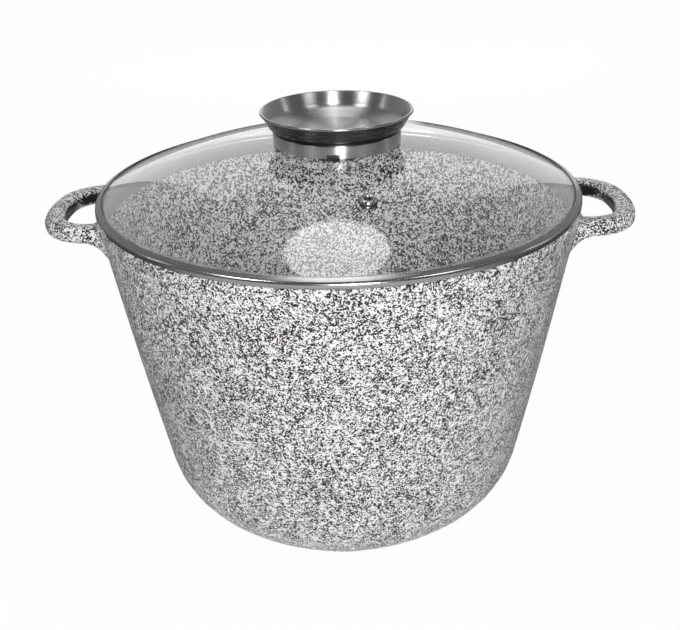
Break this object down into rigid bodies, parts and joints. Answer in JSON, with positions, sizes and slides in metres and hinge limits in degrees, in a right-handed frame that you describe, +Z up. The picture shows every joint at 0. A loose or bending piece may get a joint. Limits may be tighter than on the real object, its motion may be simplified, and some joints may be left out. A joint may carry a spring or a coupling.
{
  "type": "stockpot",
  "caption": "Wide cast aluminium stockpot with a stone-speckled coating, cast loop handles, a domed glass lid in a steel band, a steam vent and a turning bowl-shaped pouring knob.",
  "frame": {"origin": "centre of the underside, on the plane the pot stands on", "axes": "+Z up through the lid's knob, X along the line between the two loop handles, -Y the front, with the steam vent"},
  "size_m": [0.359, 0.292, 0.2612],
  "materials": {
    "coated_aluminium": "dark semi-gloss coating with white and grey stone speckles",
    "tempered_glass": "clear, smooth",
    "polished_steel": "polished stainless steel",
    "brushed_steel": "brushed stainless steel",
    "black_plastic": "black moulded phenolic plastic",
    "black_rubber": "black silicone rubber",
    "pale_rubber": "grey silicone rubber"
  },
  "bodies": {
    "stockpot": {"pot": "coated_aluminium", "base_plate": "brushed_steel", "lid_glass": "tempered_glass", "lid_band": "polished_steel", "vent_eyelet": "polished_steel", "vent_washer": "black_rubber", "knob_gasket": "black_rubber", "knob_base": "black_plastic", "knob_collar": "brushed_steel", "valve_seal": "pale_rubber", "wave_washer": "brushed_steel", "nut_gasket": "black_rubber", "clamp_washer": "brushed_steel", "stem_nut": "black_plastic"},
    "turning_knob": {"knob_core": "black_plastic", "knob_bowl": "brushed_steel", "centre_screw": "brushed_steel", "lock_nut": "brushed_steel"}
  },
  "joints": [
    {"name": "knob_turn", "type": "hinge", "parent": "stockpot", "child": "turning_knob", "pos_m": [0, 0, 0.245], "axis": [0, 0, 1], "range_deg": [0, 90]}
  ]
}
